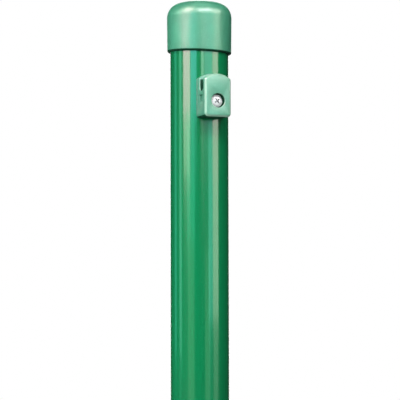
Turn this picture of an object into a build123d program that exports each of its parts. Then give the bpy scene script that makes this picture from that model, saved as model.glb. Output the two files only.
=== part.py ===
from build123d import *
import math
import os

# A round steel fence post with a push-on plastic cap and three screwed-on tension wire holders.
# All sizes are in millimetres. The post stands on the origin and +Z runs up its axis.
# The wire holders sit on the post's -Y side.

# Post tube
TUBE_OD = 34.0
TUBE_WALL = 1.25
TUBE_LENGTH = 1500.0
TUBE_END_CHAMFER = 0.3
WELD_BEAD_WIDTH = 2.6
WELD_BEAD_HEIGHT = 0.5

# Cap
CAP_GRIP_GAP = 0.3
CAP_WALL = 1.4
CAP_DRAFT = 0.2
CAP_SKIRT = 21.3
CAP_STOP_WIDTH = 2.6
CAP_CROWN_RISE = 9.2
CAP_CROWN_RADIUS = 90.0
CAP_CORNER_RADIUS = 9.0
CAP_CROWN_WALL = 2.2
CAP_RIM_BEVEL = 1.1
CAP_RIM_SLANT = 2.3
CAP_RIM_LOW_SIDE = -46.0
CAP_RIB_COUNT = 6
CAP_RIB_RADIUS = 0.5
CAP_RIB_CLEARANCE = 0.06
CAP_RIB_START = 4.0

# Wire holders
HOLDER_NAMES = ["wire_holder_top", "wire_holder_middle", "wire_holder_bottom"]
HOLDER_TOP_DROP = 51.7
HOLDER_PITCH = 430.0
HOLDER_WIDTH = 16.4
HOLDER_SCREW_TO_CREST = 15.6
HOLDER_SCREW_TO_BASE = 9.4
HOLDER_ARCH_RISE = 3.0
HOLDER_SADDLE_GAP = 0.05
HOLDER_BACK_PLATE = 2.75
HOLDER_BACK_PLATE_EXTRA = 1.0
HOLDER_FRONT_PLATE = 3.5
HOLDER_SHOULDER_ROUND = 1.6
HOLDER_BASE_ROUND = 2.2
HOLDER_FACE_BEVEL = 1.0
HOLDER_SLOT_BEVEL = 0.4
WIRE_SLOT_WIDTH = 4.8
WIRE_SLOT_DEPTH = 9.7
SIDE_POCKET_HEIGHT = 4.2
SIDE_POCKET_DEPTH = 1.2
SIDE_POCKET_BELOW_SLOT = 2.2

# Holder screws
SCREW_HEAD_D = 7.5
SCREW_HEAD_HEIGHT = 2.4
SCREW_SHANK_D = 3.5  # mean of crest and root of the 3.9 mm thread
SCREW_LENGTH = 16.0
SCREW_TIP_LENGTH = 3.5
SCREW_HEAD_RIM = 0.8
SCREW_SEAT_DEPTH = 3.9
SCREW_CROSS_SPAN = 4.2
SCREW_CROSS_WIDTH = 1.0
SCREW_CROSS_DEPTH = 1.5
SCREW_CROSS_TAPER = 22.0
SCREW_CROSS_TURN = 38.0
COUNTERBORE_CLEARANCE = 0.4
COUNTERBORE_BEVEL = 0.2
HOLDER_HOLE_CLEARANCE = 0.3
PILOT_HOLE_CLEARANCE = 0.1

# Two edges or radii closer than this are the same one
SAME_PLACE = 0.001

# Sizes that follow from the ones above
TUBE_R = TUBE_OD / 2
TUBE_BORE_R = TUBE_R - TUBE_WALL
CAP_BORE_R = TUBE_R + CAP_GRIP_GAP
CAP_RIM_R = CAP_BORE_R + CAP_WALL
CAP_SHOULDER_R = CAP_RIM_R + CAP_DRAFT
SADDLE_R = TUBE_R + HOLDER_SADDLE_GAP
SLOT_BACK_R = TUBE_R + HOLDER_BACK_PLATE
SLOT_FRONT_R = SLOT_BACK_R + WIRE_SLOT_WIDTH
HOLDER_FACE_R = SLOT_FRONT_R + HOLDER_FRONT_PLATE
SCREW_SEAT_R = HOLDER_FACE_R - SCREW_SEAT_DEPTH
SCREW_HEIGHTS = [TUBE_LENGTH - HOLDER_TOP_DROP - HOLDER_PITCH * i for i in range(len(HOLDER_NAMES))]


def make_post_tube():
    """Welded round tube with its inner weld bead and one pilot hole for each holder screw."""
    wall = Circle(TUBE_R) - Circle(TUBE_BORE_R)
    bead = Pos(0, TUBE_BORE_R) * Ellipse(WELD_BEAD_WIDTH / 2, WELD_BEAD_HEIGHT)
    section = wall + (bead & Circle(TUBE_R))
    tube = extrude(section, TUBE_LENGTH)
    ends = tube.edges().filter_by(GeomType.CIRCLE).filter_by(lambda edge: abs(edge.radius - TUBE_R) < SAME_PLACE)
    tube = chamfer(ends, TUBE_END_CHAMFER)
    pilot_r = SCREW_SHANK_D / 2 + PILOT_HOLE_CLEARANCE
    for height in SCREW_HEIGHTS:
        tube -= Pos(0, -TUBE_R, height) * Rot(90, 0, 0) * Cylinder(pilot_r, TUBE_WALL * 4)
    return tube


def crown_ball(radius):
    """Ball whose top is the cap's crown, or the ceiling inside it."""
    return Pos(0, 0, TUBE_LENGTH + CAP_CROWN_RISE - CAP_CROWN_RADIUS) * Rot(0, 90, 0) * Sphere(radius)


def make_cap_body(foot_z):
    """The cap as a solid: a drafted side, a rounded corner and a crown that runs on from it smoothly."""
    centre_z = TUBE_LENGTH + CAP_CROWN_RISE - CAP_CROWN_RADIUS
    corner_x = CAP_SHOULDER_R - CAP_CORNER_RADIUS
    centre_gap = CAP_CROWN_RADIUS - CAP_CORNER_RADIUS
    lean = math.asin(corner_x / centre_gap)
    corner_z = centre_z + centre_gap * math.cos(lean)
    crown_edge_r = CAP_CROWN_RADIUS * math.sin(lean)
    crown_edge_z = centre_z + CAP_CROWN_RADIUS * math.cos(lean)
    turn = (lean + math.pi / 2) / 2
    corner = ThreePointArc(
        (crown_edge_r, crown_edge_z),
        (corner_x + CAP_CORNER_RADIUS * math.sin(turn), corner_z + CAP_CORNER_RADIUS * math.cos(turn)),
        (CAP_SHOULDER_R, corner_z),
    )
    side = Polyline(corner @ 1, (CAP_RIM_R, foot_z), (0, foot_z), (0, crown_edge_z), corner @ 0)
    body = revolve(Plane.XZ * make_face([corner, side]), Axis.Z)
    crown = Pos(0, 0, crown_edge_z + CAP_CROWN_RISE) * Cylinder(crown_edge_r, CAP_CROWN_RISE * 2)
    return body + (crown & crown_ball(CAP_CROWN_RADIUS))


def make_post_cap():
    """Push-on cap: a domed crown, a stop ledge on the tube's end and a ribbed skirt around it."""
    rim_z = TUBE_LENGTH - CAP_SKIRT
    foot_z = rim_z - CAP_SHOULDER_R * math.tan(math.radians(CAP_RIM_SLANT)) - CAP_WALL
    ledge_z = TUBE_LENGTH
    crown_hollow = Pos(0, 0, ledge_z + CAP_CROWN_RISE) * Cylinder(CAP_BORE_R - CAP_STOP_WIDTH, CAP_CROWN_RISE * 2)
    crown_hollow &= crown_ball(CAP_CROWN_RADIUS - CAP_CROWN_WALL)
    bore_length = ledge_z - foot_z
    bore = Pos(0, 0, ledge_z - bore_length / 2) * Cylinder(CAP_BORE_R, bore_length)
    cap = make_cap_body(foot_z) - crown_hollow - bore
    cap += make_grip_ribs(rim_z + CAP_RIB_START, ledge_z)
    low_side = math.radians(CAP_RIM_LOW_SIDE)
    slope = math.tan(math.radians(CAP_RIM_SLANT))
    rim_plane = Plane(origin=(0, 0, rim_z), z_dir=(slope * math.cos(low_side), slope * math.sin(low_side), 1))
    cap = split(cap, bisect_by=rim_plane, keep=Keep.TOP)
    rim_edges = cap.faces().sort_by(Axis.Z)[0].edges()
    return chamfer(rim_edges.sort_by(SortBy.LENGTH)[-1], CAP_RIM_BEVEL)


def make_grip_ribs(foot_z, top_z):
    """Upright half-round ribs inside the skirt, which stop just short of the tube."""
    length = top_z - foot_z
    centre_r = TUBE_R + CAP_RIB_CLEARANCE + CAP_RIB_RADIUS
    rib = Pos(centre_r, 0, foot_z + length / 2) * Cylinder(CAP_RIB_RADIUS, length)
    return [Rot(0, 0, 360 / CAP_RIB_COUNT * (i + 0.5)) * rib for i in range(CAP_RIB_COUNT)]


def plate_outline(inner_r, crest_z, base_z):
    """Front view of a holder plate: arched top, upright sides and rounded corners."""
    half = HOLDER_WIDTH / 2
    shoulder_z = crest_z - HOLDER_ARCH_RISE
    arch = ThreePointArc((-half, shoulder_z), (0, crest_z), (half, shoulder_z))
    sides = Polyline(arch @ 1, (half, base_z), (-half, base_z), arch @ 0)
    plate = make_face([arch, sides])
    plate = fillet(plate.vertices().group_by(Axis.Y)[0], HOLDER_BASE_ROUND)
    plate = fillet(plate.vertices().group_by(Axis.Y)[-1], HOLDER_SHOULDER_ROUND)
    return Plane.XZ.offset(inner_r) * plate


def make_holder_block(crest_z, base_z):
    """The holder before its slot and holes: a thick front plate and a taller plate against the tube."""
    front = extrude(plate_outline(SLOT_BACK_R, crest_z, base_z), HOLDER_FACE_R - SLOT_BACK_R)
    front = chamfer(front.faces().sort_by(Axis.Y)[0].edges(), HOLDER_FACE_BEVEL)
    back = extrude(plate_outline(0, crest_z + HOLDER_BACK_PLATE_EXTRA, base_z), SLOT_BACK_R)
    back -= Pos(0, 0, (crest_z + base_z) / 2) * Cylinder(SADDLE_R, (crest_z - base_z) * 2)
    return front + back


def make_wire_slot(crest_z):
    """The space for the tension wire: open at the top, round at the bottom, right across the holder."""
    slot_r = WIRE_SLOT_WIDTH / 2
    seat_z = crest_z - WIRE_SLOT_DEPTH + slot_r
    centre_y = -(SLOT_BACK_R + slot_r)
    open_height = WIRE_SLOT_DEPTH + HOLDER_BACK_PLATE_EXTRA * 2
    seat = Pos(0, centre_y, seat_z) * Rot(0, 90, 0) * Cylinder(slot_r, HOLDER_WIDTH * 2)
    mouth = Pos(0, centre_y, seat_z + open_height / 2) * Box(HOLDER_WIDTH * 2, WIRE_SLOT_WIDTH, open_height)
    return seat + mouth


def slot_edge_loop(holder):
    """The closed loop of edges where the wire slot opens through the holder's sides and top."""
    edges = holder.edges().filter_by(Axis.X, reverse=True).filter_by(Axis.Y, reverse=True)
    return edges.filter_by_position(Axis.Y, -SLOT_FRONT_R - SAME_PLACE, -SLOT_BACK_R + SAME_PLACE)


def make_side_pockets(crest_z):
    """A shallow moulded recess in each side, below the end of the wire slot."""
    top_z = crest_z - WIRE_SLOT_DEPTH - SIDE_POCKET_BELOW_SLOT
    pocket = Box(SIDE_POCKET_DEPTH * 2, WIRE_SLOT_WIDTH, SIDE_POCKET_HEIGHT)
    centre_y = -(SLOT_BACK_R + SLOT_FRONT_R) / 2
    centre_z = top_z - SIDE_POCKET_HEIGHT / 2
    return [Pos(side * HOLDER_WIDTH / 2, centre_y, centre_z) * pocket for side in (-1, 1)]


def make_wire_holder(screw_z):
    """One tension wire holder, seated on the tube with its counterbored screw hole at screw_z."""
    crest_z = screw_z + HOLDER_SCREW_TO_CREST
    base_z = screw_z - HOLDER_SCREW_TO_BASE
    holder = make_holder_block(crest_z, base_z)
    holder -= make_wire_slot(crest_z)
    holder = chamfer(slot_edge_loop(holder), HOLDER_SLOT_BEVEL)
    holder -= make_side_pockets(crest_z)
    hole_r = SCREW_SHANK_D / 2 + HOLDER_HOLE_CLEARANCE
    holder -= Pos(0, -HOLDER_FACE_R / 2, screw_z) * Rot(90, 0, 0) * Cylinder(hole_r, HOLDER_FACE_R)
    counterbore_r = SCREW_HEAD_D / 2 + COUNTERBORE_CLEARANCE
    counterbore_y = -(SCREW_SEAT_R + SCREW_SEAT_DEPTH)
    holder -= Pos(0, counterbore_y, screw_z) * Rot(90, 0, 0) * Cylinder(counterbore_r, SCREW_SEAT_DEPTH * 2)
    mouth = holder.faces().sort_by(Axis.Y)[0].edges().filter_by(GeomType.CIRCLE)
    mouth = mouth.filter_by(lambda edge: abs(edge.radius - counterbore_r) < SAME_PLACE)
    return chamfer(mouth, COUNTERBORE_BEVEL)


def make_screw(screw_z):
    """Pan head self-tapping screw: domed head with a cross recess, plain shank and drill tip."""
    head_r = SCREW_HEAD_D / 2
    shank_r = SCREW_SHANK_D / 2
    with BuildSketch(Plane.XY) as profile:
        with BuildLine():
            dome = TangentArc((0, SCREW_HEAD_HEIGHT), (head_r, SCREW_HEAD_RIM), tangent=(1, 0))
            Polyline(
                dome @ 1,
                (head_r, 0),
                (shank_r, 0),
                (shank_r, SCREW_TIP_LENGTH - SCREW_LENGTH),
                (0, -SCREW_LENGTH),
                (0, SCREW_HEAD_HEIGHT),
            )
        make_face()
    screw = revolve(profile.sketch, Axis.Y)
    recess_plane = Plane(origin=(0, SCREW_HEAD_HEIGHT, 0), x_dir=(1, 0, 0), z_dir=(0, -1, 0))
    arm = Rectangle(SCREW_CROSS_SPAN, SCREW_CROSS_WIDTH)
    for turn in (SCREW_CROSS_TURN, SCREW_CROSS_TURN + 90):
        screw -= extrude(recess_plane * Rot(0, 0, turn) * arm, SCREW_CROSS_DEPTH, taper=SCREW_CROSS_TAPER / 2)
    return Pos(0, -SCREW_SEAT_R, screw_z) * Rot(0, 0, 180) * screw


def main():
    """Write one STEP file for each sub-part."""
    os.makedirs("parts", exist_ok=True)
    nodes = {"post_tube": make_post_tube(), "post_cap": make_post_cap()}
    for name, height in zip(HOLDER_NAMES, SCREW_HEIGHTS):
        nodes[name] = make_wire_holder(height)
    nodes["holder_screws"] = Compound(children=[make_screw(height) for height in SCREW_HEIGHTS])
    for name, shape in nodes.items():
        export_step(shape, f"parts/{name}.step")


main()
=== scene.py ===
"""A coated steel fence post with its push-on cap, three tension wire holders and their screws."""

import logging
import math
from dataclasses import dataclass, field
from enum import Enum, IntEnum

import bmesh
import bpy
from mathutils import Matrix, Vector

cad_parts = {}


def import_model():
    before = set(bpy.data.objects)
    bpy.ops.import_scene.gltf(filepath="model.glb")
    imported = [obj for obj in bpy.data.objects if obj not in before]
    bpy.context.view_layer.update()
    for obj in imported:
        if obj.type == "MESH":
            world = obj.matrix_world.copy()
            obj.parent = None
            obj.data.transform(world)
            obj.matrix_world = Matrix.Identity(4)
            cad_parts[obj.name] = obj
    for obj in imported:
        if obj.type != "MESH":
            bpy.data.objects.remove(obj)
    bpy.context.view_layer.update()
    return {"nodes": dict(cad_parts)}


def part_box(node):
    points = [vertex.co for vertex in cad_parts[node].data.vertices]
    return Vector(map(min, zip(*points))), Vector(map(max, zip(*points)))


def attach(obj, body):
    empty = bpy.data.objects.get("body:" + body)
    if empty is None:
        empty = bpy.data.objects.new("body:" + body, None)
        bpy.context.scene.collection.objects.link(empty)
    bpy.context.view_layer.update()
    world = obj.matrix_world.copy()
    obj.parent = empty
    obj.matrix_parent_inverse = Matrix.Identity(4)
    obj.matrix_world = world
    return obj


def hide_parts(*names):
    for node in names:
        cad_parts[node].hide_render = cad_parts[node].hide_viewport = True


LOG = logging.getLogger("fence_post")

MM = 0.001
BODY = "root"
MERGE_DISTANCE = 0.002 * MM
SCREW_TO_BASE = 9.4 * MM
FACING_FRONT = Matrix.Rotation(math.pi / 2, 4, "X")

CLOUD_BAND = (0.38, 0.66)
CLOUD_DETAIL = 3.0
FLECK_BAND = (0.64, 0.72)
FLECK_DETAIL = 1.0
FLECK_RELIEF = 0.35
RIPPLE_DETAIL = 1.5
SCATTER_COLOUR = (0.4, 1.0, 0.6)
SCATTER_DEPTH = 0.8 * MM

Colour = tuple[float, float, float, float]
LampColour = tuple[float, float, float]
Point = tuple[float, float]


class Slot(Enum):
    """The record's material slots."""

    TUBE = "coated_tube"
    CAP = "cap_plastic"
    HOLDER = "holder_plastic"
    SCREW = "screw_zinc"


class Skin(IntEnum):
    """Places in a piece's list of materials: the body, then painted shade, then painted highlight."""

    BODY = 0
    PAINTED_SHADE = 1
    PAINTED_HIGHLIGHT = 2


def rgba(red: float, green: float, blue: float) -> Colour:
    """A colour given in linear light, with full opacity."""
    return (red, green, blue, 1.0)


def arc(centre: Point, radius: float, start: float, end: float, steps: int) -> list[Point]:
    """Points of a circular arc in a profile.

    Args:
        centre: the arc's centre, as radius from the post's axis and height.
        radius: the arc's radius.
        start: the first point's direction in degrees from straight outwards.
        end: the last point's direction in degrees.
        steps: the number of straight pieces.

    Returns:
        The points from start to end, both included.
    """
    points = []
    for i in range(steps + 1):
        turn = math.radians(start + (end - start) * i / steps)
        points.append((centre[0] + radius * math.cos(turn), centre[1] + radius * math.sin(turn)))
    return points


def revolve(profile: list[Point], steps: int, closed: bool) -> bmesh.types.BMesh:
    """Turn a profile about the Z axis.

    Args:
        profile: points as radius and height.
        steps: segments round the full turn.
        closed: whether the last point joins the first.

    Returns:
        A mesh whose faces point outwards.
    """
    mesh = bmesh.new()
    verts = [mesh.verts.new((radius, 0.0, height)) for radius, height in profile]
    edges = [mesh.edges.new(pair) for pair in zip(verts, verts[1:])]
    if closed:
        edges.append(mesh.edges.new((verts[-1], verts[0])))
    bmesh.ops.spin(
        mesh,
        geom=verts + edges,
        cent=(0, 0, 0),
        axis=(0, 0, 1),
        angle=math.tau,
        steps=steps,
        use_merge=True,
    )
    bmesh.ops.remove_doubles(mesh, verts=mesh.verts, dist=MERGE_DISTANCE)
    bmesh.ops.recalc_face_normals(mesh, faces=mesh.faces)
    return mesh


def add_rod(mesh: bmesh.types.BMesh, radius: float, length: float, segments: int, place: Matrix) -> None:
    """Add a closed round rod to a mesh.

    Args:
        mesh: the mesh that gets the rod.
        radius: the rod's radius.
        length: its length, half to each side of the place.
        segments: flats round it.
        place: where its middle is and how it is turned.
    """
    bmesh.ops.create_cone(
        mesh,
        cap_ends=True,
        segments=segments,
        radius1=radius,
        radius2=radius,
        depth=length,
        matrix=place,
    )


def to_object(mesh: bmesh.types.BMesh, name: str) -> bpy.types.Object:
    """Make an object at the origin from a bmesh, and free the bmesh.

    Args:
        mesh: the finished bmesh.
        name: the name of the object and its mesh.

    Returns:
        The object, linked to the scene.
    """
    data = bpy.data.meshes.new(name)
    mesh.to_mesh(data)
    mesh.free()
    piece = bpy.data.objects.new(name, data)
    bpy.context.scene.collection.objects.link(piece)
    return piece


def settle(piece: bpy.types.Object) -> None:
    """Apply the modifiers of a piece to its mesh.

    Args:
        piece: the piece, which has no modifiers afterwards.
    """
    graph = bpy.context.evaluated_depsgraph_get()
    final = bpy.data.meshes.new_from_object(piece.evaluated_get(graph))
    piece.modifiers.clear()
    old = piece.data
    piece.data = final
    bpy.data.meshes.remove(old)


def carve(piece: bpy.types.Object, cutters: list[bpy.types.Object]) -> None:
    """Cut the cutters out of a piece and remove them.

    Args:
        piece: the piece to cut.
        cutters: closed objects in the places to cut away.
    """
    for cutter in cutters:
        cut = piece.modifiers.new("cut", "BOOLEAN")
        cut.operation = "DIFFERENCE"
        cut.solver = "EXACT"
        cut.object = cutter
    settle(piece)
    for cutter in cutters:
        bpy.data.objects.remove(cutter)


def smooth(piece: bpy.types.Object, angle: float) -> None:
    """Shade a piece smooth, apart from its sharp edges.

    Args:
        piece: the piece to shade.
        angle: the turn in degrees from which an edge stays sharp.
    """
    data = piece.data
    data.polygons.foreach_set("use_smooth", [True] * len(data.polygons))
    data.set_sharp_from_angle(angle=math.radians(angle))
    data.update()


@dataclass(frozen=True)
class NodeKit:
    """Makes and links the nodes of one node tree."""

    tree: bpy.types.NodeTree

    def add(self, kind: str) -> bpy.types.Node:
        """A new node of the kind that Blender names so."""
        return self.tree.nodes.new(kind)

    def link(self, source: bpy.types.NodeSocket, target: bpy.types.NodeSocket) -> None:
        """Feed a socket from another."""
        self.tree.links.new(source, target)

    def noise(
        self, place: bpy.types.NodeSocket, scale: bpy.types.NodeSocket, detail: float
    ) -> bpy.types.NodeSocket:
        """Noise over the surface.

        Args:
            place: the coordinates.
            scale: the waves to the metre.
            detail: how many finer layers it has.

        Returns:
            The noise's value, about 0.5 on average.
        """
        made = self.add("ShaderNodeTexNoise")
        made.inputs["Detail"].default_value = detail
        self.link(place, made.inputs["Vector"])
        self.link(scale, made.inputs["Scale"])
        return made.outputs["Fac"]

    def band(self, value: bpy.types.NodeSocket, limits: tuple[float, float]) -> bpy.types.NodeSocket:
        """A mask that rises from 0 to 1 between two limits.

        Args:
            value: what is compared with the limits.
            limits: where the mask starts to rise and where it is full.

        Returns:
            The mask.
        """
        made = self.add("ShaderNodeMapRange")
        made.inputs["From Min"].default_value, made.inputs["From Max"].default_value = limits
        self.link(value, made.inputs["Value"])
        return made.outputs["Result"]

    def blend(
        self, share: bpy.types.NodeSocket, under: bpy.types.NodeSocket, over: bpy.types.NodeSocket
    ) -> bpy.types.NodeSocket:
        """Lay one colour over another.

        Args:
            share: how much of the upper colour shows.
            under: the lower colour.
            over: the upper colour.

        Returns:
            The mixed colour.
        """
        made = self.add("ShaderNodeMix")
        made.data_type = "RGBA"
        self.link(share, made.inputs["Factor"])
        self.link(under, made.inputs["A"])
        self.link(over, made.inputs["B"])
        return made.outputs["Result"]

    def maths(self, operation: str, *values: bpy.types.NodeSocket | float) -> bpy.types.NodeSocket:
        """One step of arithmetic.

        Args:
            operation: the step that Blender names so.
            values: its inputs in order, each a socket or a number.

        Returns:
            The result.
        """
        made = self.add("ShaderNodeMath")
        made.operation = operation
        for target, value in zip(made.inputs, values):
            if isinstance(value, bpy.types.NodeSocket):
                self.link(value, target)
            else:
                target.default_value = value
        return made.outputs["Value"]


def skin_group() -> bpy.types.NodeTree:
    """The surface texture that coating and mouldings share, built once.

    Returns:
        A node group with a colour, a roughness and a height that change over the surface.
    """
    name = "skin_texture"
    if name in bpy.data.node_groups:
        return bpy.data.node_groups[name]
    tree = bpy.data.node_groups.new(name, "ShaderNodeTree")
    for title in ("Base", "Cloud", "Fleck"):
        tree.interface.new_socket(name=title, in_out="INPUT", socket_type="NodeSocketColor")
    for title in (
        "Cloud Scale",
        "Fleck Scale",
        "Fleck Share",
        "Ripple Scale",
        "Roughness",
        "Roughness Spread",
    ):
        tree.interface.new_socket(name=title, in_out="INPUT", socket_type="NodeSocketFloat")
    tree.interface.new_socket(name="Colour", in_out="OUTPUT", socket_type="NodeSocketColor")
    tree.interface.new_socket(name="Roughness", in_out="OUTPUT", socket_type="NodeSocketFloat")
    tree.interface.new_socket(name="Height", in_out="OUTPUT", socket_type="NodeSocketFloat")

    kit = NodeKit(tree)
    given = kit.add("NodeGroupInput").outputs
    result = kit.add("NodeGroupOutput").inputs
    place = kit.add("ShaderNodeTexCoord").outputs["Object"]

    cloud = kit.band(kit.noise(place, given["Cloud Scale"], CLOUD_DETAIL), CLOUD_BAND)
    clouded = kit.blend(cloud, given["Base"], given["Cloud"])
    specks = kit.noise(place, given["Fleck Scale"], FLECK_DETAIL)
    share = kit.maths("MULTIPLY", kit.band(specks, FLECK_BAND), given["Fleck Share"])
    kit.link(kit.blend(share, clouded, given["Fleck"]), result["Colour"])

    spread = kit.maths("MULTIPLY_ADD", cloud, given["Roughness Spread"], given["Roughness"])
    kit.link(spread, result["Roughness"])

    ripple = kit.noise(place, given["Ripple Scale"], RIPPLE_DETAIL)
    kit.link(kit.maths("MULTIPLY_ADD", specks, FLECK_RELIEF, ripple), result["Height"])
    return tree


@dataclass(frozen=True)
class Finish:
    """A surface finish, built on the shared skin texture.

    Clouds are broad patches and flecks are fine ones. Scales are waves to the metre, and
    ripple_height is in metres.
    """

    name: str
    base: Colour
    cloud: Colour
    fleck: Colour
    cloud_scale: float
    fleck_scale: float
    fleck_share: float
    ripple_scale: float
    ripple_height: float
    roughness: float
    roughness_spread: float
    metallic: float = 0.0
    specular: float = 0.5
    coat: float = 0.0
    coat_roughness: float = 0.05
    subsurface: float = 0.0

    def material(self) -> bpy.types.Material:
        """The finish as a material, made on first use.

        Returns:
            The material, the same one at every call.
        """
        if self.name in bpy.data.materials:
            return bpy.data.materials[self.name]
        made = bpy.data.materials.new(self.name)
        made.use_nodes = True
        kit = NodeKit(made.node_tree)
        shader = made.node_tree.nodes["Principled BSDF"].inputs
        skin = kit.add("ShaderNodeGroup")
        skin.node_tree = skin_group()
        for title, value in (
            ("Base", self.base),
            ("Cloud", self.cloud),
            ("Cloud Scale", self.cloud_scale),
            ("Fleck", self.fleck),
            ("Fleck Scale", self.fleck_scale),
            ("Fleck Share", self.fleck_share),
            ("Ripple Scale", self.ripple_scale),
            ("Roughness", self.roughness),
            ("Roughness Spread", self.roughness_spread),
        ):
            skin.inputs[title].default_value = value
        bump = kit.add("ShaderNodeBump")
        bump.inputs["Strength"].default_value = 1.0
        bump.inputs["Distance"].default_value = self.ripple_height
        kit.link(skin.outputs["Height"], bump.inputs["Height"])
        kit.link(skin.outputs["Colour"], shader["Base Color"])
        kit.link(skin.outputs["Roughness"], shader["Roughness"])
        kit.link(bump.outputs["Normal"], shader["Normal"])
        shader["Metallic"].default_value = self.metallic
        shader["Specular IOR Level"].default_value = self.specular
        shader["Coat Weight"].default_value = self.coat
        shader["Coat Roughness"].default_value = self.coat_roughness
        shader["Subsurface Weight"].default_value = self.subsurface
        shader["Subsurface Radius"].default_value = SCATTER_COLOUR
        shader["Subsurface Scale"].default_value = SCATTER_DEPTH
        return made


COATING = Finish(
    name="green_coating",
    base=rgba(0.002, 0.212, 0.071),
    cloud=rgba(0.002, 0.196, 0.065),
    fleck=rgba(0.02, 0.30, 0.14),
    cloud_scale=25.0,
    fleck_scale=1400.0,
    fleck_share=0.25,
    ripple_scale=420.0,
    ripple_height=0.010 * MM,
    roughness=0.14,
    roughness_spread=0.04,
    coat=0.6,
)

CAP_MOULDING = Finish(
    name="cap_moulding",
    base=rgba(0.060, 0.325, 0.190),
    cloud=rgba(0.046, 0.275, 0.158),
    fleck=rgba(0.14, 0.48, 0.30),
    cloud_scale=60.0,
    fleck_scale=1600.0,
    fleck_share=0.35,
    ripple_scale=110.0,
    ripple_height=0.16 * MM,
    roughness=0.30,
    roughness_spread=0.06,
    specular=0.7,
    subsurface=0.1,
)

# Painted shade: this dark colour stands in for the shade on the cap's downward rim round and underside.
CAP_RIM_PAINTED_SHADE = Finish(
    name="cap_rim_painted_shade",
    base=rgba(0.006, 0.050, 0.026),
    cloud=rgba(0.004, 0.038, 0.020),
    fleck=rgba(0.02, 0.09, 0.05),
    cloud_scale=90.0,
    fleck_scale=1800.0,
    fleck_share=0.2,
    ripple_scale=300.0,
    ripple_height=0.02 * MM,
    roughness=0.85,
    roughness_spread=0.1,
    specular=0.05,
)

HOLDER_MOULDING = Finish(
    name="holder_moulding",
    base=rgba(0.090, 0.330, 0.218),
    cloud=rgba(0.065, 0.270, 0.175),
    fleck=rgba(0.20, 0.50, 0.35),
    cloud_scale=75.0,
    fleck_scale=1800.0,
    fleck_share=0.2,
    ripple_scale=95.0,
    ripple_height=0.26 * MM,
    roughness=0.32,
    roughness_spread=0.08,
    specular=0.8,
    subsurface=0.1,
)

# Painted highlight: this pale colour stands in for the glint of light on the bevels round the holder's
# front.
HOLDER_PAINTED_HIGHLIGHT = Finish(
    name="holder_painted_highlight",
    base=rgba(0.290, 0.540, 0.400),
    cloud=rgba(0.250, 0.500, 0.360),
    fleck=rgba(0.30, 0.64, 0.47),
    cloud_scale=110.0,
    fleck_scale=1800.0,
    fleck_share=0.2,
    ripple_scale=160.0,
    ripple_height=0.03 * MM,
    roughness=0.30,
    roughness_spread=0.06,
    specular=0.6,
)

# Painted shade: this dark colour stands in for the shade in the slot, in the screw's bore and under the
# holder.
HOLDER_PAINTED_SHADE = Finish(
    name="holder_painted_shade",
    base=rgba(0.004, 0.062, 0.030),
    cloud=rgba(0.003, 0.050, 0.024),
    fleck=rgba(0.01, 0.09, 0.05),
    cloud_scale=120.0,
    fleck_scale=1800.0,
    fleck_share=0.2,
    ripple_scale=400.0,
    ripple_height=0.02 * MM,
    roughness=0.6,
    roughness_spread=0.1,
    specular=0.1,
)

ZINC = Finish(
    name="bright_zinc",
    base=rgba(0.96, 0.97, 0.98),
    cloud=rgba(0.90, 0.93, 0.95),
    fleck=rgba(0.70, 0.72, 0.76),
    cloud_scale=420.0,
    fleck_scale=2600.0,
    fleck_share=0.3,
    ripple_scale=900.0,
    ripple_height=0.004 * MM,
    roughness=0.38,
    roughness_spread=0.1,
)

# Painted shade: this dark colour stands in for the shade inside the screw's cross recess.
ZINC_PAINTED_SHADE = Finish(
    name="zinc_painted_shade",
    base=rgba(0.10, 0.11, 0.13),
    cloud=rgba(0.07, 0.08, 0.10),
    fleck=rgba(0.05, 0.05, 0.06),
    cloud_scale=420.0,
    fleck_scale=2600.0,
    fleck_share=0.3,
    ripple_scale=900.0,
    ripple_height=0.004 * MM,
    roughness=0.55,
    roughness_spread=0.1,
    metallic=1.0,
)


def dress(piece: bpy.types.Object, finishes: list[Finish], node: str) -> bpy.types.Object:
    """Give a piece its finishes and its place in the frame.

    Args:
        piece: the finished piece.
        finishes: its materials in the order of Skin, any painted shade or painted highlight among them.
        node: the CAD node that it stands for.

    Returns:
        The piece.
    """
    piece.data.materials.clear()
    for finish in finishes:
        piece.data.materials.append(finish.material())
    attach(piece, BODY)
    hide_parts(node)
    LOG.info("%s: %d faces", piece.name, len(piece.data.polygons))
    return piece


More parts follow.
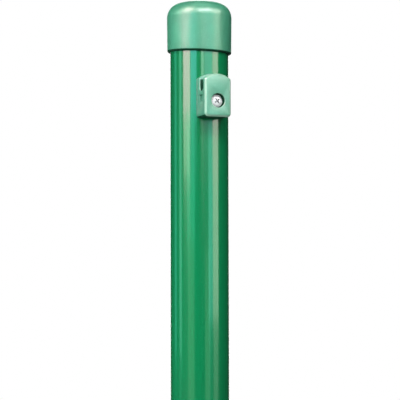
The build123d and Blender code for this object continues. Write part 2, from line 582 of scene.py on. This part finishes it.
@dataclass
class PostTube:
    """The coated round tube, open at its lower end, with the weld bead along its bore.

    An extra ring end_ring from each end keeps the shading of the end's round off the long wall.
    """

    radius: float = 17.0 * MM
    wall: float = 1.25 * MM
    end_round: float = 0.3 * MM
    end_ring: float = 0.9 * MM
    end_steps: int = 3
    bead_width: float = 2.6 * MM
    bead_height: float = 0.5 * MM
    bead_segments: int = 16
    hole_radius: float = 1.85 * MM
    hole_segments: int = 32
    segments: int = 192
    sharp_angle: float = 35.0
    length: float = field(init=False)

    def __post_init__(self) -> None:
        """Take the length from the frame."""
        self.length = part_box("post_tube")[1].z

    def shell(self) -> bmesh.types.BMesh:
        """The tube's wall with its two softened ends.

        Returns:
            The closed wall, without holes.
        """
        bore = self.radius - self.wall
        middle = self.radius - self.end_round
        profile = [(bore, 0.0)]
        profile += arc((middle, self.end_round), self.end_round, -90, 0, self.end_steps)
        profile += [(self.radius, self.end_ring), (self.radius, self.length - self.end_ring)]
        profile += arc((middle, self.length - self.end_round), self.end_round, 0, 90, self.end_steps)
        profile.append((bore, self.length))
        return revolve(profile, self.segments, closed=True)

    def add_bead(self, mesh: bmesh.types.BMesh) -> None:
        """Add the weld bead, half sunk in the wall, along the +Y side of the bore.

        Args:
            mesh: the tube's wall.
        """
        made = bmesh.ops.create_circle(mesh, cap_ends=True, segments=self.bead_segments, radius=0.5)
        verts = made["verts"]
        bmesh.ops.scale(mesh, vec=(self.bead_width, self.bead_height * 2, 1), verts=verts)
        bmesh.ops.translate(mesh, vec=(0, self.radius - self.wall, self.end_round), verts=verts)
        foot = list({face for vert in verts for face in vert.link_faces})
        grown = bmesh.ops.extrude_face_region(mesh, geom=foot)
        top = [item for item in grown["geom"] if isinstance(item, bmesh.types.BMVert)]
        bmesh.ops.translate(mesh, vec=(0, 0, self.length - 2 * self.end_round), verts=top)
        bmesh.ops.recalc_face_normals(mesh, faces=mesh.faces)

    def pilot_drill(self, height: float) -> bpy.types.Object:
        """The drill of one screw's pilot hole through the -Y wall.

        Args:
            height: the screw's height.

        Returns:
            The drill, long enough to pass the wall on both sides.
        """
        drill = bmesh.new()
        place = Matrix.Translation((0, -self.radius, height)) @ FACING_FRONT
        add_rod(drill, self.hole_radius, self.wall * 4, self.hole_segments, place)
        return to_object(drill, "pilot_drill")

    def build(self, heights: list[float]) -> bpy.types.Object:
        """Make the tube.

        Args:
            heights: where the screws' pilot holes are.

        Returns:
            The dressed tube.
        """
        piece = to_object(self.shell(), "coated_tube")
        carve(piece, [self.pilot_drill(height) for height in heights])
        joined = bmesh.new()
        joined.from_mesh(piece.data)
        self.add_bead(joined)
        joined.to_mesh(piece.data)
        joined.free()
        smooth(piece, self.sharp_angle)
        return dress(piece, [COATING], "post_tube")


@dataclass
class PostCap:
    """The push-on plastic cap with its domed crown and a rim that is a little out of square.

    The rim's slant and the direction of its low side are in degrees. Steps are the straight pieces
    of the arcs in its half section.
    """

    rim_radius: float = 18.7 * MM
    shoulder_radius: float = 18.9 * MM
    crown_radius: float = 90.0 * MM
    crown_steps: int = 10
    corner_radius: float = 9.0 * MM
    corner_steps: int = 18
    crown_wall: float = 2.2 * MM
    roof_steps: int = 8
    bore_radius: float = 17.3 * MM
    stop_width: float = 2.6 * MM
    skirt: float = 21.3 * MM
    rim_round: float = 1.15 * MM
    rim_steps: int = 6
    rim_inner_round: float = 0.2 * MM
    rim_inner_steps: int = 3
    rim_slant: float = 2.3
    rim_low_side: float = -46.0
    level_share: float = 0.02
    rib_radius: float = 0.5 * MM
    rib_reach: float = 17.56 * MM
    rib_start: float = 4.0 * MM
    rib_segments: int = 16
    ribs: int = 6
    segments: int = 160
    sharp_angle: float = 40.0
    rim_facing: float = -0.1
    top: float = field(init=False)
    ledge: float = field(init=False)
    rim: float = field(init=False)

    def __post_init__(self) -> None:
        """Take the heights from the frame."""
        self.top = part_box("post_cap")[1].z
        self.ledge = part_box("post_tube")[1].z
        self.rim = self.ledge - self.skirt

    def profile(self) -> list[Point]:
        """Half section of the cap.

        Returns:
            Points from the crown's middle over the outside to the bore and the roof's middle.
        """
        crown = (0.0, self.top - self.crown_radius)
        corner_x = self.shoulder_radius - self.corner_radius
        gap = self.crown_radius - self.corner_radius
        lean = math.degrees(math.asin(corner_x / gap))
        corner = (corner_x, crown[1] + gap * math.cos(math.radians(lean)))
        soft, inner_soft = self.rim_round, self.rim_inner_round
        outer_rim = (self.rim_radius - soft, self.rim + soft)
        inner_rim = (self.bore_radius + inner_soft, self.rim + inner_soft)
        stop = self.bore_radius - self.stop_width
        roof_radius = self.crown_radius - self.crown_wall
        roof_edge = math.degrees(math.acos(stop / roof_radius))
        points = arc(crown, self.crown_radius, 90, 90 - lean, self.crown_steps)
        points += arc(corner, self.corner_radius, 90 - lean, 0, self.corner_steps)[1:]
        points.append((self.rim_radius, self.rim + soft * 2))
        points += arc(outer_rim, soft, 0, -90, self.rim_steps)
        points += arc(inner_rim, inner_soft, -90, -180, self.rim_inner_steps)
        points += [(self.bore_radius, self.rim + soft), (self.bore_radius, self.ledge), (stop, self.ledge)]
        points += arc(crown, roof_radius, roof_edge, 90, self.roof_steps)
        return points

    def slant_rim(self, mesh: bmesh.types.BMesh) -> None:
        """Tilt the rim, fading out towards the ledge inside the cap.

        Args:
            mesh: the cap with a level rim.
        """
        slope = math.tan(math.radians(self.rim_slant))
        low = math.radians(self.rim_low_side)
        for vert in mesh.verts:
            reach = (self.ledge - vert.co.z) / (self.ledge - self.rim)
            if reach > self.level_share:
                side = vert.co.x * math.cos(low) + vert.co.y * math.sin(low)
                vert.co.z -= slope * side * min(reach, 1.0)

    def add_ribs(self, mesh: bmesh.types.BMesh) -> None:
        """Add the upright grip ribs inside the skirt.

        Args:
            mesh: the cap.
        """
        foot = self.rim + self.rib_start
        length = self.ledge - foot
        for i in range(self.ribs):
            turn = Matrix.Rotation(math.tau / self.ribs * (i + 0.5), 4, "Z")
            place = turn @ Matrix.Translation((self.rib_reach, 0, foot + length / 2))
            add_rod(mesh, self.rib_radius, length, self.rib_segments, place)

    def build(self) -> bpy.types.Object:
        """Make the cap.

        Returns:
            The dressed cap, whose downward faces low on the skirt have painted shade.
        """
        mesh = revolve(self.profile(), self.segments, closed=False)
        self.slant_rim(mesh)
        self.add_ribs(mesh)
        piece = to_object(mesh, "push_on_cap")
        smooth(piece, self.sharp_angle)
        dress(piece, [CAP_MOULDING, CAP_RIM_PAINTED_SHADE], "post_cap")
        middle = self.ledge - self.skirt / 2
        # Painted shade on the faces that look down in the lower skirt: the rim's round, its underside and
        # the ribs' ends.
        for face in piece.data.polygons:
            if face.normal.z < self.rim_facing and face.center.z < middle:
                face.material_index = Skin.PAINTED_SHADE
        return piece


@dataclass
class WireHolder:
    """One moulded holder, whose slot takes a tension wire.

    The slot's walls and the face are distances in front of the post's axis. The slot's foot and head
    are heights above the screw. The angles are in degrees, and the facings are the share of a face's
    normal that points forwards, sideways or down.
    """

    node: str
    edge_round: float = 0.35 * MM
    edge_steps: int = 3
    edge_angle: float = 32.0
    flat_angle: float = 0.5
    sharp_angle: float = 40.0
    slot_walls: tuple[float, float] = (19.75 * MM, 24.55 * MM)
    slot_foot: float = 5.8 * MM
    slot_head: float = 12.8 * MM
    slot_slack: float = 0.06 * MM
    slot_facing: float = 0.2
    bore_radius: float = 4.15 * MM
    bore_slack: float = 0.1 * MM
    bore_mouth: float = 0.5 * MM
    face: float = 28.05 * MM
    # Where the painted highlight and the painted shade under the holder go
    edge_depth: float = 0.9 * MM
    edge_facing: tuple[float, float] = (0.3, 0.97)
    underside_facing: float = 0.55
    screw: float = field(init=False)

    def __post_init__(self) -> None:
        """Take the screw's height from the frame."""
        self.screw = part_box(self.node)[0].z + SCREW_TO_BASE

    def build(self) -> bpy.types.Object:
        """Round every edge of a merged copy of the solid.

        Returns:
            The dressed holder.
        """
        mesh = bmesh.new()
        mesh.from_mesh(bpy.data.objects[self.node].data)
        bmesh.ops.remove_doubles(mesh, verts=mesh.verts, dist=MERGE_DISTANCE)
        bmesh.ops.dissolve_limit(
            mesh,
            angle_limit=math.radians(self.flat_angle),
            use_dissolve_boundaries=False,
            verts=mesh.verts,
            edges=mesh.edges,
        )
        bmesh.ops.bisect_plane(
            mesh,
            geom=mesh.verts[:] + mesh.edges[:] + mesh.faces[:],
            plane_co=(0, 0, self.screw + self.slot_head),
            plane_no=(0, 0, 1),
        )
        piece = to_object(mesh, self.node.replace("wire_holder", "moulded_holder"))
        soften = piece.modifiers.new("soften", "BEVEL")
        soften.width = self.edge_round
        soften.segments = self.edge_steps
        soften.limit_method = "ANGLE"
        soften.angle_limit = math.radians(self.edge_angle)
        soften.use_clamp_overlap = True
        soften.harden_normals = True
        settle(piece)
        smooth(piece, self.sharp_angle)
        dress(piece, [HOLDER_MOULDING, HOLDER_PAINTED_SHADE, HOLDER_PAINTED_HIGHLIGHT], self.node)
        # Painted shade and painted highlight on the faces that skin_of picks
        for face in piece.data.polygons:
            face.material_index = self.skin_of(face)
        return piece

    def skin_of(self, face: bpy.types.MeshPolygon) -> Skin:
        """Which finish a face of the moulding has.

        Args:
            face: a face of the finished mesh.

        Returns:
            Painted highlight on the bevels round the front, painted shade in the slot, the bore and on the
            underside, or the body.
        """
        depth, rise = -face.center.y, face.center.z - self.screw
        forwards, sideways, up = -face.normal.y, abs(face.normal.x), face.normal.z
        near_bore = math.hypot(face.center.x, rise) < self.bore_radius + self.bore_slack
        in_bore = near_bore and depth < self.face - self.bore_mouth
        at_edge = self.edge_facing[0] < forwards < self.edge_facing[1]
        # Painted highlight on the front's bevels
        if at_edge and depth > self.face - self.edge_depth and not in_bore:
            return Skin.PAINTED_HIGHLIGHT
        rear, front = self.slot_walls
        between = rear - self.slot_slack < depth < front + self.slot_slack
        in_slot = between and sideways < self.slot_facing and self.slot_foot < rise < self.slot_head
        below = up < -self.underside_facing and rise < -SCREW_TO_BASE / 2
        # Painted shade in the slot, in the bore and under the holder
        return Skin.PAINTED_SHADE if in_slot or in_bore or below else Skin.BODY


@dataclass
class HolderScrew:
    """A zinc-plated pan head screw with a cross recess.

    The head's seat is a distance in front of the post's axis, and cross_turn is in degrees.
    """

    height: float
    seat: float = 24.15 * MM
    head_radius: float = 3.75 * MM
    head_height: float = 2.4 * MM
    head_rim: float = 0.8 * MM
    head_steps: int = 8
    head_lip: float = 0.1 * MM
    shank_radius: float = 1.95 * MM
    length: float = 16.0 * MM
    tip: float = 3.5 * MM
    pitch: float = 1.3 * MM
    thread_depth: float = 0.35 * MM
    thread_flank: float = 0.39 * MM
    cross_span: float = 5.0 * MM
    cross_width: float = 0.9 * MM
    cross_depth: float = 1.5 * MM
    cross_taper: tuple[float, float] = (0.45, 0.6)
    cross_turn: float = 38.0
    flat_facing: float = 0.8
    segments: int = 48
    sharp_angle: float = 35.0

    def place(self) -> Matrix:
        """From the screw's own frame, head up, to its seat on the holder."""
        return Matrix.Translation((0, -self.seat, self.height)) @ FACING_FRONT

    def profile(self) -> list[Point]:
        """Half section of head, shank and tip.

        Returns:
            Points from the head's middle to the tip, with the head's seat at height 0.
        """
        dome = self.head_height - self.head_rim
        bulge = (self.head_radius**2 + dome**2) / (2 * dome)
        lean = math.degrees(math.asin(self.head_radius / bulge))
        points = arc((0, self.head_height - bulge), bulge, 90, 90 - lean, self.head_steps)
        points.append((self.head_radius, self.head_lip))
        points += [(self.head_radius - self.head_lip, 0), (self.shank_radius, 0)]
        root = self.shank_radius - self.thread_depth
        for i in range(int((self.length - self.tip) / self.pitch)):
            crest = -self.pitch * (i + 1)
            points.append((root, crest + self.thread_flank))
            points.append((self.shank_radius, crest))
            points.append((root, crest - self.thread_flank))
        points += [(root, self.tip - self.length), (0, -self.length)]
        return points

    def cross_blade(self, turn: float) -> bpy.types.Object:
        """One tapered blade of the cross recess.

        Args:
            turn: its direction in the head, in degrees.

        Returns:
            The blade, half of it above the head.
        """
        blade = bmesh.new()
        size = (self.cross_span, self.cross_width, self.cross_depth * 2)
        bmesh.ops.create_cube(blade, size=1.0)
        bmesh.ops.scale(blade, vec=size, verts=blade.verts)
        foot = [vert for vert in blade.verts if vert.co.z < 0]
        bmesh.ops.scale(blade, vec=(*self.cross_taper, 1), verts=foot)
        on_head = Matrix.Translation((0, 0, self.head_height))
        blade.transform(self.place() @ on_head @ Matrix.Rotation(math.radians(turn), 4, "Z"))
        return to_object(blade, "cross_blade")

    def build(self, index: int) -> bpy.types.Object:
        """Make the screw.

        Args:
            index: its number, from the top of the post.

        Returns:
            The dressed screw, whose cross recess has painted shade.
        """
        mesh = revolve(self.profile(), self.segments, closed=False)
        mesh.transform(self.place())
        piece = to_object(mesh, f"holder_screw_{index}")
        carve(piece, [self.cross_blade(self.cross_turn + side) for side in (0, 90)])
        smooth(piece, self.sharp_angle)
        dress(piece, [ZINC, ZINC_PAINTED_SHADE], "holder_screws")
        # Painted shade on the faces inside the cross recess
        for face in piece.data.polygons:
            inner = math.hypot(face.center.x, face.center.z - self.height) < self.cross_span / 2
            in_head = face.center.y < self.head_rim - self.seat
            if inner and in_head and face.normal.y > -self.flat_facing:
                face.material_index = Skin.PAINTED_SHADE
        return piece


@dataclass(frozen=True, kw_only=True)
class Softbox:
    """What every lamp has: its colour and distance, and which kinds of surface it shows on."""

    colour: LampColour = (1.0, 1.0, 1.0)
    distance: float = 2.0
    gloss: bool = True
    diffuse: bool = True

    def hang(
        self, name: str, size: Point, radiance: float, spot: Vector, facing: Vector
    ) -> bpy.types.Object:
        """Put a flat lamp in the scene.

        Args:
            name: the lamp's name.
            size: its width and height.
            radiance: how bright its surface is.
            spot: where its middle is.
            facing: the direction in which it shines.

        Returns:
            The lamp, which the camera doesn't see.
        """
        data = bpy.data.lights.new(name, "AREA")
        data.shape = "RECTANGLE"
        data.size, data.size_y = size
        data.energy = radiance * math.pi * size[0] * size[1]
        data.color = self.colour
        lamp = bpy.data.objects.new(name, data)
        lamp.location = spot
        lamp.rotation_euler = facing.to_track_quat("-Z", "Y").to_euler()
        lamp.visible_camera = False
        lamp.visible_glossy = self.gloss
        lamp.visible_diffuse = self.diffuse
        bpy.context.scene.collection.objects.link(lamp)
        return lamp


@dataclass(frozen=True)
class Lamp(Softbox):
    """An upright strip lamp that faces the post.

    Start and end are degrees round the post from its front, towards +X. Low and high are heights.
    """

    name: str
    start: float
    end: float
    low: float
    high: float
    radiance: float

    def add(self) -> bpy.types.Object:
        """Put the lamp in the scene.

        Returns:
            The lamp.
        """
        middle = math.radians((self.start + self.end) / 2)
        width = 2 * self.distance * math.tan(math.radians(self.end - self.start) / 2)
        spot = Vector((math.sin(middle), -math.cos(middle), 0)) * self.distance
        facing = Vector((-spot.x, -spot.y, 0))
        spot.z = (self.low + self.high) / 2
        return self.hang(self.name, (width, self.high - self.low), self.radiance, spot, facing)


@dataclass(frozen=True)
class HighLamp(Softbox):
    """A softbox that is turned towards the post's head.

    Its direction is in degrees: round the post from its front, towards +X, and up from level.
    """

    name: str
    azimuth: float
    elevation: float
    width: float
    height: float
    radiance: float
    aim: float = 1.45

    def add(self) -> bpy.types.Object:
        """Put the lamp in the scene.

        Returns:
            The lamp.
        """
        turn, rise = math.radians(self.azimuth), math.radians(self.elevation)
        level = Vector((math.sin(turn), -math.cos(turn), 0)) * math.cos(rise)
        away = level + Vector((0, 0, math.sin(rise)))
        spot = Vector((0, 0, self.aim)) + away * self.distance
        return self.hang(self.name, (self.width, self.height), self.radiance, spot, -away)


# Surroundings that the coating and the mouldings mirror, which light nothing
SURROUNDINGS = (
    Lamp("cream_panel", -90, -60, 1.67, 2.9, 8.6, colour=(1.0, 0.63, 0.73), diffuse=False),
    Lamp("left_sky", -58, -34, 1.67, 2.4, 4.4, colour=(0.24, 0.86, 1.0), diffuse=False),
    Lamp("thin_line", -16, -5, 1.67, 2.4, 5.0, colour=(0.60, 1.0, 0.80), diffuse=False),
    Lamp("front_sky", -3, 29, 1.67, 2.4, 3.4, colour=(0.48, 1.0, 0.95), diffuse=False),
    Lamp("right_sky", 30, 56, 1.60, 2.9, 4.7, colour=(0.95, 0.90, 0.80), diffuse=False),
    Lamp("cream_middle", -88, -62, 1.60, 1.67, 4.2, colour=(0.50, 1.0, 0.60), diffuse=False),
    Lamp("left_middle", -74, -42, 1.53, 1.67, 2.2, colour=(0.12, 1.0, 0.62), diffuse=False),
    Lamp("front_middle", 12, 30, 1.44, 1.65, 3.2, colour=(0.27, 1.0, 0.85), diffuse=False),
    Lamp("right_middle", 31, 56, 1.44, 1.60, 4.0, colour=(0.74, 1.0, 0.76), diffuse=False),
    Lamp("left_low", -70, -44, -0.2, 1.53, 0.9, colour=(0.50, 1.0, 0.55), diffuse=False),
    Lamp("front_low", -2, 18, -0.2, 1.52, 1.0, colour=(0.50, 1.0, 0.58), diffuse=False),
    Lamp("right_low", 34, 54, -0.2, 1.43, 0.8, colour=(0.55, 1.0, 0.70), diffuse=False),
    Lamp("far_left_line", -139, -126, 1.4, 2.6, 1.1, colour=(0.15, 1.0, 0.8), diffuse=False),
    Lamp("left_line", -110, -98, 1.4, 2.6, 2.2, colour=(0.30, 1.0, 0.76), diffuse=False),
    HighLamp("high_left", -72, 44, 0.9, 0.8, 26.0, colour=(1.0, 0.76, 0.72), diffuse=False),
    HighLamp("high_side", -107, 25, 0.7, 0.6, 9.5, colour=(0.55, 1.0, 0.74), diffuse=False),
    HighLamp("high_front", 2, 43, 1.8, 0.7, 19.0, colour=(1.0, 0.88, 0.92), diffuse=False),
    HighLamp("high_right", 50, 32, 0.7, 0.6, 15.0, colour=(1.0, 0.86, 0.80), diffuse=False),
)

# The light that falls on the post
LIGHTING = (
    HighLamp("high_key", -16, 44, 1.8, 0.6, 11.0, gloss=False),
    HighLamp("head_fill", -8, 14, 0.35, 0.35, 5.2, distance=0.7, gloss=False),
    HighLamp("low_fill", -48, -22, 0.35, 0.35, 1.5, distance=0.7, gloss=False),
    Lamp("left_fill", -130, -60, -0.2, 2.6, 1.8, gloss=False),
    Lamp("back_wall", 148, 166, -0.2, 2.4, 4.0),
    Lamp("back_fill", 190, 230, -0.2, 2.4, 1.0, gloss=False),
)


@dataclass
class Studio:
    """Floor, backdrop light, lamps and camera.

    The camera's direction and roll are in degrees, the lens and sensor in millimetres. The floor
    fades to white between fade_start and fade_end from the post's foot.
    """

    camera_azimuth: float = -23.0
    camera_distance: float = 2.2
    camera_height: float = 1.192
    aim_height: float = 1.39287
    aim_aside: float = 0.25 * MM
    roll: float = -0.111
    lens: float = 341.0
    sensor: float = 36.0
    far_clip: float = 200.0
    floor_reach: float = 60.0
    floor_drop: float = 0.5 * MM
    floor_squares: int = 8
    floor_colour: Colour = (0.86, 0.86, 0.85, 1.0)
    floor_roughness: float = 0.9
    fade_start: float = 0.25
    fade_end: float = 1.8
    ambient: float = 0.08
    flag_radius: float = 2.5
    flag_foot: float = -0.5
    flag_height: float = 7.0
    flag_sides: int = 64
    flag_level: Colour = (0.02, 0.04, 0.03, 1.0)

    def add_floor(self) -> None:
        """A pale floor that turns white away from the post, where it meets the backdrop."""
        mesh = bmesh.new()
        squares = self.floor_squares
        bmesh.ops.create_grid(mesh, x_segments=squares, y_segments=squares, size=self.floor_reach)
        bmesh.ops.translate(mesh, vec=(0, 0, -self.floor_drop), verts=mesh.verts)
        floor = to_object(mesh, "studio_floor")
        made = bpy.data.materials.new("floor_paper")
        made.use_nodes = True
        kit = NodeKit(made.node_tree)
        paper = made.node_tree.nodes["Principled BSDF"]
        paper.inputs["Base Color"].default_value = self.floor_colour
        paper.inputs["Roughness"].default_value = self.floor_roughness
        length = kit.add("ShaderNodeVectorMath")
        length.operation = "LENGTH"
        kit.link(kit.add("ShaderNodeTexCoord").outputs["Object"], length.inputs[0])
        fade = kit.add("ShaderNodeMapRange")
        fade.inputs["From Min"].default_value = self.fade_start
        fade.inputs["From Max"].default_value = self.fade_end
        fade.interpolation_type = "SMOOTHSTEP"
        kit.link(length.outputs["Value"], fade.inputs["Value"])
        path = kit.add("ShaderNodeLightPath").outputs
        seen = kit.maths("MAXIMUM", path["Is Camera Ray"], path["Is Transmission Ray"])
        mix = kit.add("ShaderNodeMixShader")
        kit.link(kit.maths("MULTIPLY", fade.outputs["Result"], seen), mix.inputs["Fac"])
        kit.link(paper.outputs["BSDF"], mix.inputs[1])
        kit.link(kit.add("ShaderNodeEmission").outputs["Emission"], mix.inputs[2])
        kit.link(mix.outputs["Shader"], made.node_tree.nodes["Material Output"].inputs["Surface"])
        floor.data.materials.append(made)
        floor.visible_diffuse = False

    def add_world(self) -> None:
        """White to the camera, in gloss and through glass, and a faint fill on the object."""
        world = bpy.data.worlds.new("studio")
        bpy.context.scene.world = world
        world.use_nodes = True
        kit = NodeKit(world.node_tree)
        path = kit.add("ShaderNodeLightPath").outputs
        straight = kit.maths("MAXIMUM", path["Is Camera Ray"], path["Is Transmission Ray"])
        seen = kit.maths("MAXIMUM", path["Is Glossy Ray"], straight)
        back = world.node_tree.nodes["Background"].inputs
        back["Color"].default_value = rgba(1, 1, 1)
        kit.link(kit.maths("MAXIMUM", seen, self.ambient), back["Strength"])

    def add_flags(self) -> None:
        """A ring of dark flags behind the lamps, which only the object's gloss meets."""
        mesh = bmesh.new()
        bmesh.ops.create_cone(
            mesh,
            cap_ends=False,
            segments=self.flag_sides,
            radius1=self.flag_radius,
            radius2=self.flag_radius,
            depth=self.flag_height,
            matrix=Matrix.Translation((0, 0, self.flag_height / 2 + self.flag_foot)),
        )
        flags = to_object(mesh, "studio_flags")
        made = bpy.data.materials.new("flag_cloth")
        made.use_nodes = True
        kit = NodeKit(made.node_tree)
        cloth = kit.add("ShaderNodeEmission")
        cloth.inputs["Color"].default_value = self.flag_level
        kit.link(cloth.outputs["Emission"], made.node_tree.nodes["Material Output"].inputs["Surface"])
        flags.data.materials.append(made)
        flags.visible_camera = False
        flags.visible_diffuse = False
        flags.visible_shadow = False
        flags.visible_transmission = False

    def add_camera(self) -> None:
        """A long lens to the left of the holders, looking up a little."""
        data = bpy.data.cameras.new("photo_camera")
        data.lens = self.lens
        data.sensor_width = self.sensor
        data.clip_end = self.far_clip
        camera = bpy.data.objects.new("photo_camera", data)
        turn = math.radians(self.camera_azimuth)
        camera.location = (
            math.sin(turn) * self.camera_distance,
            -math.cos(turn) * self.camera_distance,
            self.camera_height,
        )
        aside = Vector((math.cos(turn), math.sin(turn), 0)) * self.aim_aside
        aim = Vector((0, 0, self.aim_height)) + aside - camera.location
        level = aim.to_track_quat("-Z", "Y").to_matrix()
        roll = Matrix.Rotation(math.radians(self.roll), 3, "Z")
        camera.rotation_euler = (level @ roll).to_euler()
        bpy.context.scene.collection.objects.link(camera)
        bpy.context.scene.camera = camera

    def build(self) -> None:
        """Set the whole studio up."""
        self.add_floor()
        self.add_world()
        self.add_flags()
        for lamp in SURROUNDINGS + LIGHTING:
            lamp.add()
        self.add_camera()
        bpy.context.scene.view_settings.view_transform = "Standard"


def main() -> None:
    """Build the post, then the studio."""
    logging.basicConfig(level=logging.INFO, format="%(name)s: %(message)s")
    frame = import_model()
    holders = sorted(name for name in frame["nodes"] if name.startswith("wire_holder"))
    heights = sorted((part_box(name)[0].z + SCREW_TO_BASE for name in holders), reverse=True)
    PostTube().build(heights)
    PostCap().build()
    for name in holders:
        WireHolder(name).build()
    for index, height in enumerate(heights, start=1):
        HolderScrew(height).build(index)
    Studio().build()


if __name__ == "__main__":
    main()
